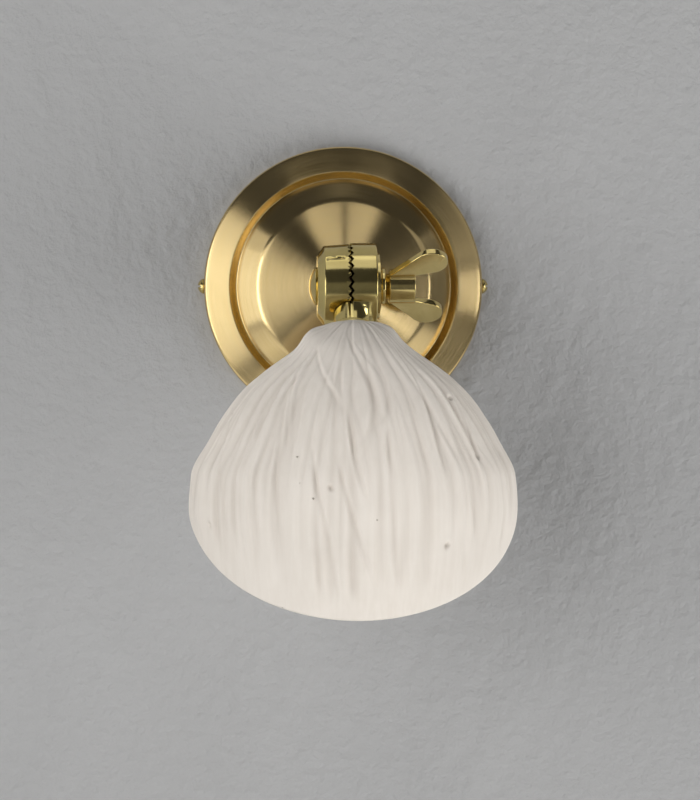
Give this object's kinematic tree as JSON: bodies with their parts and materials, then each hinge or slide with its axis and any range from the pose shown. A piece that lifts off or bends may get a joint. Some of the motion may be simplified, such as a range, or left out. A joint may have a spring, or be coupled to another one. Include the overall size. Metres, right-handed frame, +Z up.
{
  "type": "wall sconce",
  "caption": "Wall light with a round stepped brass cover, a toothed tilting joint clamped by a wing nut, and an unglazed ribbed ceramic shade in the form of a closed clam.",
  "frame": {"origin": "on the wall's surface, midway between the two wall slots", "axes": "+X to the right seen from the room, +Y into the wall, +Z up"},
  "size_m": [0.1228, 0.1311, 0.1745],
  "materials": {
    "cover_brass": "circular brushed, waxed, slightly worn",
    "joint_brass": "polished cast brass, slightly dull",
    "fastener_brass": "polished brass",
    "terminal_brass": "machined",
    "zinc_steel": "zinc plated",
    "tinned_copper": "tinned",
    "bisque": "unglazed, matte",
    "porcelain": "white glaze",
    "silicone": "matte",
    "black_rubber": "matte",
    "friction_fibre": "pressed fibre",
    "terminal_plastic": "moulded",
    "lead_sleeve": "silicone sleeved wire",
    "earth_sleeve": "green sleeved wire",
    "lamp_glass": "clear",
    "lamp_filament": "phosphor coated"
  },
  "bodies": {
    "wall_side": {"wall_bracket": "zinc_steel", "cable_bush": "black_rubber", "cover_plate": "cover_brass", "side_screws": "fastener_brass", "terminal_block": "terminal_plastic", "terminal_inserts": "terminal_brass", "terminal_screws": "zinc_steel", "terminal_fixing": "zinc_steel", "earth_screw": "zinc_steel", "earth_washer": "zinc_steel", "earth_tags": "tinned_copper", "earth_lead": "earth_sleeve", "feed_leads": "lead_sleeve", "neck_collar": "joint_brass", "arm_nipple": "zinc_steel", "arm_washer": "zinc_steel", "arm_lock_washer": "zinc_steel", "arm_locknut": "zinc_steel", "arm_knuckle": "joint_brass", "clamp_bolt": "fastener_brass", "friction_washer": "friction_fibre"},
    "clamp_side": {"clamp_washer": "fastener_brass", "clamp_collar": "fastener_brass"},
    "nut_side": {"wing_nut": "fastener_brass"},
    "shade_side": {"shade_knuckle": "joint_brass", "shade_nipple": "zinc_steel", "shade_cap": "joint_brass", "outer_seal": "silicone", "shade": "bisque", "inner_seal": "silicone", "inner_washer": "zinc_steel", "shade_locknut": "zinc_steel", "holder_bridge": "zinc_steel", "holder_screws": "zinc_steel", "lampholder": "porcelain", "holder_contacts": "terminal_brass", "lamp_leads": "lead_sleeve", "lamp_base": "porcelain", "lamp_pins": "tinned_copper", "lamp_core": "lamp_filament", "lamp_cover": "lamp_glass"}
  },
  "joints": [
    {"name": "shade_tilt", "type": "hinge", "parent": "wall_side", "child": "shade_side", "pos_m": [0, -0.055, 0], "axis": [1, 0, 0], "range_deg": [-135, 33.75]},
    {"name": "clamp_travel", "type": "slide", "parent": "wall_side", "child": "clamp_side", "axis": [1, 0, 0], "range_m": [0, 0.002]},
    {"name": "wing_turn", "type": "hinge", "parent": "clamp_side", "child": "nut_side", "pos_m": [0, -0.055, 0], "axis": [1, 0, 0], "range_deg": [0, 721]}
  ],
  "couplings": [
    {"joint": "wing_turn", "follows": "clamp_travel", "rad_per_m": 6283.2}
  ]
}
